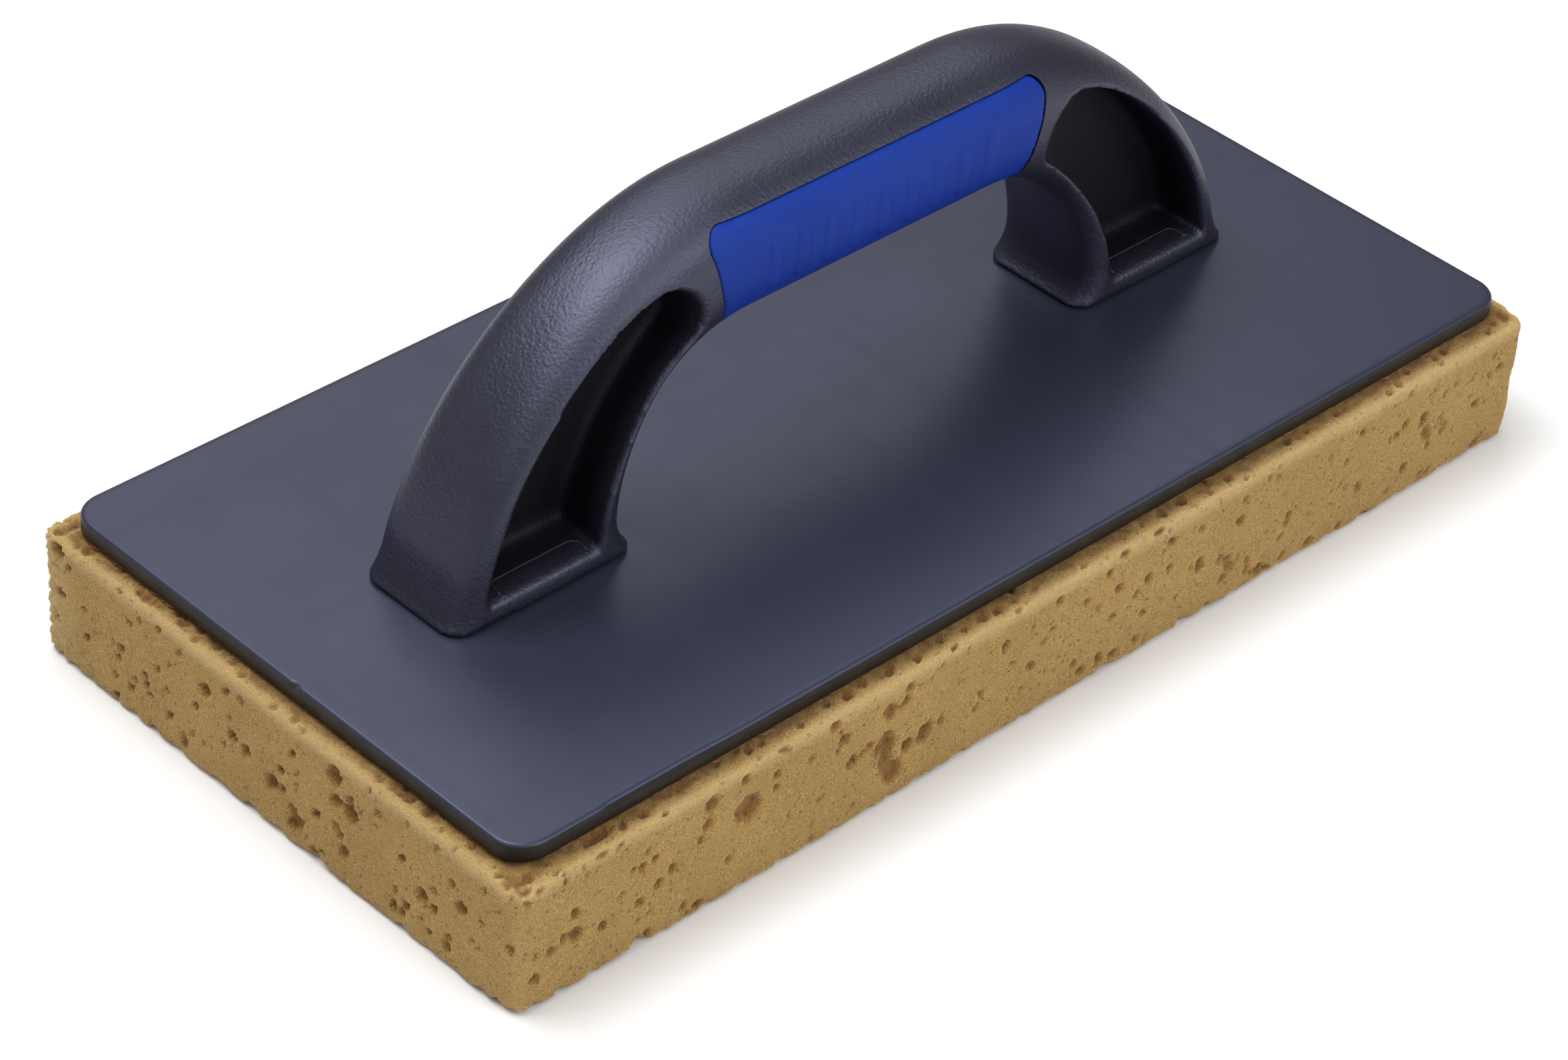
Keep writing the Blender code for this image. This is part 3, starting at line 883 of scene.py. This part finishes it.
def sponge_look():
    look = Look(
        "sponge_foam",
        Subsurface_Weight=0.45,
        Subsurface_Radius=(1.0, 0.62, 0.28),
        Subsurface_Scale=0.0035,
        Specular_IOR_Level=0.15,
        Sheen_Weight=0.1,
        Sheen_Roughness=0.6,
    )
    cells = look.cells(0.38)
    pinholes = look.cells(2.0)
    fine = look.noise(0.24, 2.5)
    patches = look.noise(16.0, 3.0)
    spots = look.noise(2.2, 3.0)
    patch = look.ranged(patches, 0.35, 0.68)
    colour = look.mix(patch, (0.430, 0.268, 0.077, 1), (0.375, 0.228, 0.061, 1))
    colour = look.mix(look.ranged(spots, 0.52, 0.70, 0.0, 0.2), colour, (0.290, 0.165, 0.042, 1))
    colour = look.mix(look.ranged(cells, 0.15, 0.55, 0.4, 0.0), colour, (0.240, 0.130, 0.032, 1))
    colour = look.mix(look.ranged(fine, 0.52, 0.64, 0.0, 0.7), colour, (0.180, 0.088, 0.022, 1))
    colour = look.mix(look.ranged(fine, 0.34, 0.48, 0.6, 0.0), colour, (0.640, 0.455, 0.180, 1))
    # Painted shade in the pinholes: they are darkened as well as bumped in.
    holes = look.ranged(pinholes, 0.10, 0.20, 1.0, 0.0)
    colour = look.mix(look.ranged(holes, 0.0, 1.0, 0.0, 0.6), colour, (0.150, 0.068, 0.017, 1))
    # Painted highlight along the top edge and corners, with the torn corner's lighter foam, from the "edge"
    # attribute.
    edge = look.ranged(look.attribute("edge"), 0.0, 1.0, 0.0, 0.42)
    colour = look.mix(edge, colour, (0.640, 0.490, 0.240, 1))
    # Painted shade in the holes, by their depth.
    pore_shade = look.ranged(look.attribute("pore_shade"), 0.0, 1.0, 0.0, 0.75)
    colour = look.mix(pore_shade, colour, (0.235, 0.100, 0.025, 1))
    # Glue stain and painted shade next to the plate, from the "glue" attribute.
    glue_and_shade = look.maths("MULTIPLY", look.attribute("glue"), look.ranged(spots, 0.35, 0.6, 0.2, 0.75))
    colour = look.mix(glue_and_shade, colour, (0.19, 0.085, 0.024, 1))
    under = look.bump(spots, 0.4, 0.4)
    under = look.bump(holes, -0.5, 0.6, under)
    under = look.bump(cells, 0.3, 0.7, under)
    return look.finish(colour, 0.92, look.bump(fine, 0.3, 0.9, under))


def handle_look():
    look = Look("handle_plastic", Specular_IOR_Level=1.0, IOR=1.55)
    leather = look.noise(0.72, 1.5)
    cells = look.cells(0.95, "SMOOTH_F1")
    pebble = look.noise(0.3, 2.0)
    patches = look.noise(30.0, 3.0)
    smears = look.noise(14.0, 3.0)
    # Painted shade in the pockets: darker colour, a duller reflection tint and more roughness.
    depth = look.attribute("pocket")
    colour = look.mix(patches, (0.009, 0.010, 0.015, 1), (0.013, 0.014, 0.020, 1))
    colour = look.mix(look.ranged(leather, 0.35, 0.6, 0.5, 0.0), colour, (0.006, 0.006, 0.010, 1))
    colour = look.mix(look.ranged(depth, 0.0, 1.0, 0.0, 0.9), colour, (0.0025, 0.0025, 0.0035, 1))
    # Painted highlight on the tops of the witness lines.
    colour = look.mix(look.attribute("line_highlight"), colour, (0.07, 0.07, 0.08, 1))
    pocket_shaded_tint = look.mix(depth, (0.64, 0.65, 0.95, 1), (0.16, 0.16, 0.22, 1))
    look.put(look.shader.inputs["Specular Tint"], pocket_shaded_tint)
    roughness = look.ranged(smears, 0.3, 0.7, 0.42, 0.48)
    roughness = look.maths("ADD", roughness, look.ranged(depth, 0.0, 1.0, 0.0, 0.12))
    under = look.bump(leather, 0.125, 1.0)
    under = look.bump(cells, 0.05, 0.8, under)
    return look.finish(colour, roughness, look.bump(pebble, 0.03, 0.7, under))


def insert_look():
    look = Look("soft_grip", Specular_IOR_Level=0.4, Specular_Tint=(0.35, 0.55, 1.0, 1.0))
    grain = look.noise(0.8, 3.0)
    patches = look.noise(18.0, 3.0)
    wear = look.noise(6.0, 4.0)
    colour = look.mix(patches, (0.0045, 0.025, 0.235, 1), (0.007, 0.033, 0.29, 1))
    colour = look.mix(look.ranged(wear, 0.55, 0.8, 0.0, 0.25), colour, (0.014, 0.045, 0.33, 1))
    roughness = look.ranged(wear, 0.3, 0.7, 0.46, 0.60)
    return look.finish(colour, roughness, look.bump(grain, 0.07, 0.8))


def plate_look():
    look = Look("plate_plastic", Specular_IOR_Level=0.75, Specular_Tint=(0.62, 0.64, 0.95, 1.0))
    patches = look.noise(45.0, 3.0)
    streaks = look.noise(3.0, 4.0, (1.0, 0.06, 1.0))
    lines = look.noise(1.6, 1.0, (0.02, 1.0, 1.0))
    smears = look.noise(14.0, 5.0, (0.5, 1.0, 1.0))
    grain = look.noise(0.35, 2.0)
    colour = look.mix(patches, (0.021, 0.024, 0.040, 1), (0.026, 0.029, 0.047, 1))
    colour = look.mix(look.ranged(smears, 0.55, 0.8, 0.0, 0.3), colour, (0.018, 0.020, 0.034, 1))
    colour = look.mix(look.ranged(lines, 0.71, 0.77, 0.0, 0.35), colour, (0.012, 0.013, 0.022, 1))
    roughness = look.ranged(smears, 0.3, 0.75, 0.34, 0.39)
    roughness = look.maths("ADD", roughness, look.ranged(streaks, 0.45, 0.75, 0.0, 0.04))
    under = look.bump(streaks, 0.008, 0.3)
    return look.finish(colour, roughness, look.bump(grain, 0.02, 0.6, under))


def plate_shaded_side_look():
    # Painted shade: a darker, less glossy copy of the plate's plastic for its sides, in blotches.
    look = Look("plate_shaded_side", Specular_IOR_Level=0.22, Specular_Tint=(1.0, 0.92, 0.86, 1.0))
    drag = look.noise(0.8, 3.0, (0.15, 0.15, 1.0))
    side_blotches = look.noise(5.0, 4.0)
    colour = look.mix(look.ranged(side_blotches, 0.4, 0.7), (0.006, 0.005, 0.005, 1), (0.012, 0.009, 0.006, 1))
    return look.finish(colour, look.ranged(drag, 0.3, 0.7, 0.34, 0.5), look.bump(drag, 0.03, 0.6))


def glue_look():
    look = Look("adhesive", Specular_IOR_Level=0.5)
    lumps = look.noise(2.5, 3.0)
    colour = look.mix(look.ranged(lumps, 0.35, 0.65), (0.10, 0.035, 0.010, 1), (0.26, 0.10, 0.03, 1))
    return look.finish(colour, look.ranged(lumps, 0.3, 0.7, 0.3, 0.5), look.bump(lumps, 0.3, 0.8))


def steel_look():
    look = Look("screw_steel", Metallic=1.0)
    scratches = look.noise(0.5, 4.0)
    colour = look.mix(scratches, (0.42, 0.42, 0.43, 1), (0.62, 0.62, 0.63, 1))
    roughness = look.ranged(scratches, 0.3, 0.7, 0.25, 0.42)
    return look.finish(colour, roughness, look.bump(scratches, 0.02, 0.5))


def paint(obj, material):
    obj.data.materials.clear()
    obj.data.materials.append(material)


# ---------------------------------------------------------------- stage
def make_floor():
    signs = ((-1, -1), (1, -1), (1, 1), (-1, 1))
    corners = [(x * FLOOR_HALF_SIZE, y * FLOOR_HALF_SIZE, 0) for x, y in signs]
    floor = object_from("floor", corners, [[0, 1, 2, 3]])
    look = Look("floor_paper", Specular_IOR_Level=0.1)
    fibres = look.noise(0.8, 3.0)
    colour = look.mix(fibres, (0.90, 0.90, 0.90, 1), (0.93, 0.93, 0.93, 1))
    paint(floor, look.finish(colour, 0.9, look.bump(fibres, 0.02, 0.3)))


def add_light(name, place, target, size, power):
    light = bpy.data.lights.new(name, "AREA")
    light.shape = "RECTANGLE"
    light.size, light.size_y = size
    light.energy = power
    obj = bpy.data.objects.new(name, light)
    bpy.context.scene.collection.objects.link(obj)
    obj.location = place
    obj.rotation_mode = "QUATERNION"
    obj.rotation_quaternion = (Vector(target) - Vector(place)).to_track_quat("-Z", "Y")


def make_studio():
    world = bpy.data.worlds.new("studio")
    world.use_nodes = True
    background = world.node_tree.nodes["Background"]
    background.inputs["Color"].default_value = (1.0, 1.0, 1.0, 1.0)
    background.inputs["Strength"].default_value = 0.13
    bpy.context.scene.world = world
    add_light("overhead", (-0.15, -0.20, 1.30), (0, 0, 0.03), (1.6, 1.3), 1.5)
    add_light("key", (-0.35, 0.45, 1.27), (0, 0, 0.05), (0.85, 0.85), 11.8)
    add_light("front", (-0.45, -0.25, 1.28), (0, 0, 0.05), (1.7, 1.7), 9.5)
    add_light("right", (0.30, -1.20, 0.80), (0, 0, 0.05), (1.3, 0.9), 10.2)
    add_light("behind", (0.58, 0.79, 1.05), (0, 0, 0.03), (0.95, 0.7), 3.7)


def make_camera():
    data = bpy.data.cameras.new("camera")
    data.lens = CAMERA_LENS
    data.sensor_width = CAMERA_SENSOR
    data.clip_start = 0.01
    camera = bpy.data.objects.new("camera", data)
    bpy.context.scene.collection.objects.link(camera)
    turn = Matrix((CAMERA_RIGHT, CAMERA_UP, CAMERA_BACK)).transposed()
    camera.matrix_world = Matrix.Translation(CAMERA_PLACE) @ turn.to_4x4()
    bpy.context.scene.camera = camera


def main():
    make_camera()
    make_studio()
    make_floor()
    bpy.context.scene.view_settings.view_transform = "Standard"

    pieces = (
        (make_sponge(), sponge_look(), "sponge_pad", "sponge"),
        (make_glue(), glue_look(), "adhesive_film", "adhesive"),
        (make_plate(), None, "base_plate", "plate_plastic"),
        (make_handle(), handle_look(), "handle_body", "handle_plastic"),
        (make_insert(), insert_look(), "grip_insert", "soft_grip"),
    )
    for piece, material, node, slot in pieces:
        if material is not None:
            paint(piece, material)
        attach(piece, "root")
        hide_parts(node)

    steel = steel_look()
    for name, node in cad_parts.items():
        if name.startswith("screw_"):
            node.data.materials[0] = steel


main()
